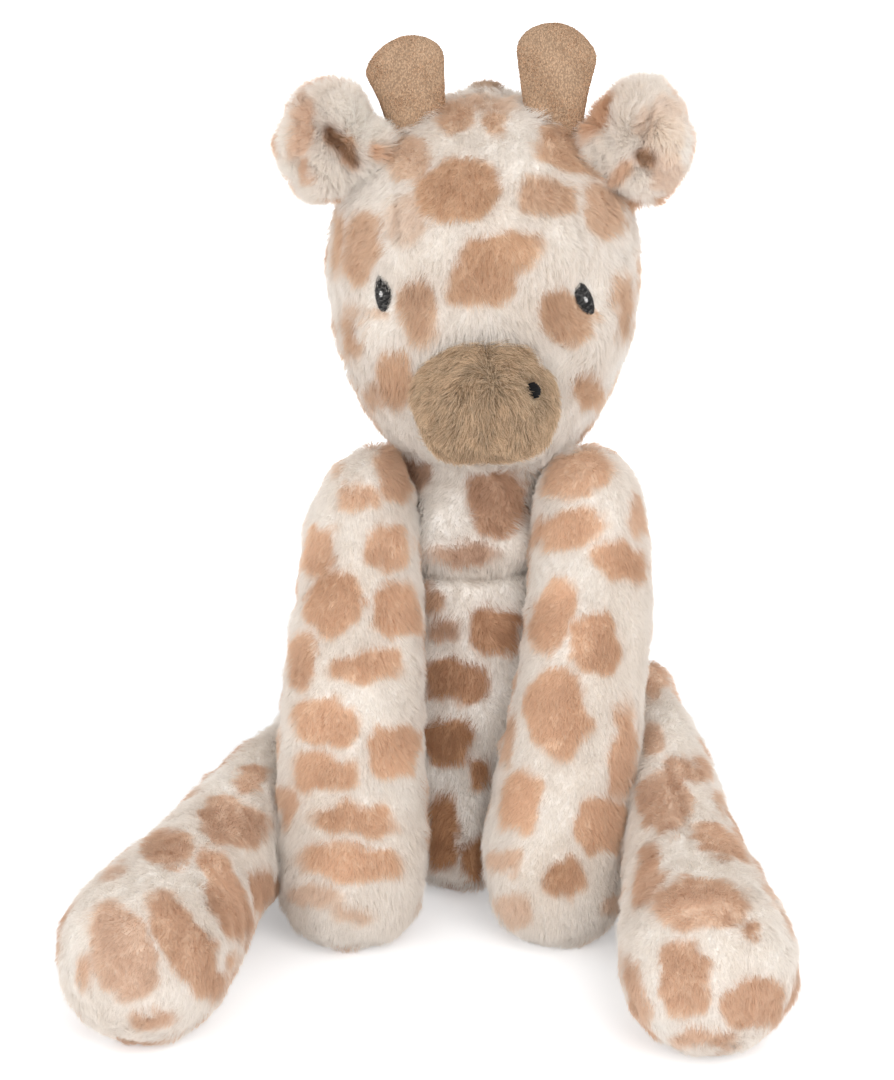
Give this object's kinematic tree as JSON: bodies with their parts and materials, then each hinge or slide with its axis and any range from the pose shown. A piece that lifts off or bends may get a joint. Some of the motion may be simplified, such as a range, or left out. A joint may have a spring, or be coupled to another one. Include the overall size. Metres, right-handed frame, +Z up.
{
  "type": "seated plush giraffe",
  "caption": "Seated soft toy giraffe with an egg-shaped head, padded horns, folded ears, long hanging arms and splayed legs with round feet.",
  "frame": {"origin": "middle of the flat seat that the torso rests on", "axes": "+Z up, the toy faces -Y, its own left side is +X"},
  "size_m": [0.2269, 0.3007, 0.2846],
  "materials": {
    "cream_fur": "short pile, cream with tan patches",
    "muzzle_fur": "longer taupe pile",
    "mane_fur": "longer brown pile",
    "horn_knit": "fine matte knit",
    "fibre_fill": "loose fibre",
    "pouch_cloth": "plain woven",
    "dark_thread": "satin stitch",
    "white_thread": "satin stitch"
  },
  "bodies": {
    "torso": {"torso_skin": "cream_fur", "torso_stuffing": "fibre_fill", "seat_pellet_pouch": "pouch_cloth", "back_mane": "mane_fur"},
    "head": {"head_skin": "cream_fur", "head_stuffing": "fibre_fill", "muzzle_skin": "muzzle_fur", "muzzle_stuffing": "fibre_fill", "head_mane": "mane_fur", "left_horn_skin": "horn_knit", "left_horn_stuffing": "fibre_fill", "left_eye": "dark_thread", "left_eye_glint": "white_thread", "left_nostril": "dark_thread", "right_horn_skin": "horn_knit", "right_horn_stuffing": "fibre_fill", "right_eye": "dark_thread", "right_eye_glint": "white_thread", "right_nostril": "dark_thread"},
    "tail": {"tail": "cream_fur", "tail_tuft": "mane_fur"},
    "left_arm": {"left_arm_skin": "cream_fur", "left_arm_stuffing": "fibre_fill", "left_paw_pellet_pouch": "pouch_cloth"},
    "left_leg": {"left_leg_skin": "cream_fur", "left_leg_stuffing": "fibre_fill", "left_foot_pellet_pouch": "pouch_cloth"},
    "left_ear": {"left_ear": "cream_fur"},
    "right_arm": {"right_arm_skin": "cream_fur", "right_arm_stuffing": "fibre_fill", "right_paw_pellet_pouch": "pouch_cloth"},
    "right_leg": {"right_leg_skin": "cream_fur", "right_leg_stuffing": "fibre_fill", "right_foot_pellet_pouch": "pouch_cloth"},
    "right_ear": {"right_ear": "cream_fur"}
  },
  "joints": [
    {"name": "neck_nod", "type": "hinge", "parent": "torso", "child": "head", "pos_m": [0, -0.004, 0.138], "axis": [1, 0, 0], "range_deg": [-12, 8], "stiffness_Nm_per_rad": 2.5},
    {"name": "left_shoulder_lift", "type": "hinge", "parent": "torso", "child": "left_arm", "pos_m": [0.03457, -0.02836, 0.127], "axis": [-1, 0, 0], "range_deg": [0, 60]},
    {"name": "left_hip_splay", "type": "hinge", "parent": "torso", "child": "left_leg", "pos_m": [0.05854, -0.01585, 0.039], "axis": [0, 0, 1], "range_deg": [0, 35]},
    {"name": "left_ear_flop", "type": "hinge", "parent": "head", "child": "left_ear", "pos_m": [0.04066, -0.01401, 0.24666], "axis": [-0.1448, -0.0122, 0.9894], "range_deg": [-15, 15], "stiffness_Nm_per_rad": 0.02},
    {"name": "right_shoulder_lift", "type": "hinge", "parent": "torso", "child": "right_arm", "pos_m": [-0.03457, -0.02836, 0.127], "axis": [-1, 0, 0], "range_deg": [0, 60]},
    {"name": "right_hip_splay", "type": "hinge", "parent": "torso", "child": "right_leg", "pos_m": [-0.05755, -0.01547, 0.0298], "axis": [0, 0, -1], "range_deg": [0, 35]},
    {"name": "right_ear_flop", "type": "hinge", "parent": "head", "child": "right_ear", "pos_m": [-0.03366, -0.01401, 0.24666], "axis": [0.1448, -0.0122, 0.9894], "range_deg": [-15, 15], "stiffness_Nm_per_rad": 0.02},
    {"name": "tail_wag", "type": "hinge", "parent": "torso", "child": "tail", "pos_m": [0, 0.04267, 0.02], "axis": [0, 0, 1], "range_deg": [-35, 35]}
  ]
}
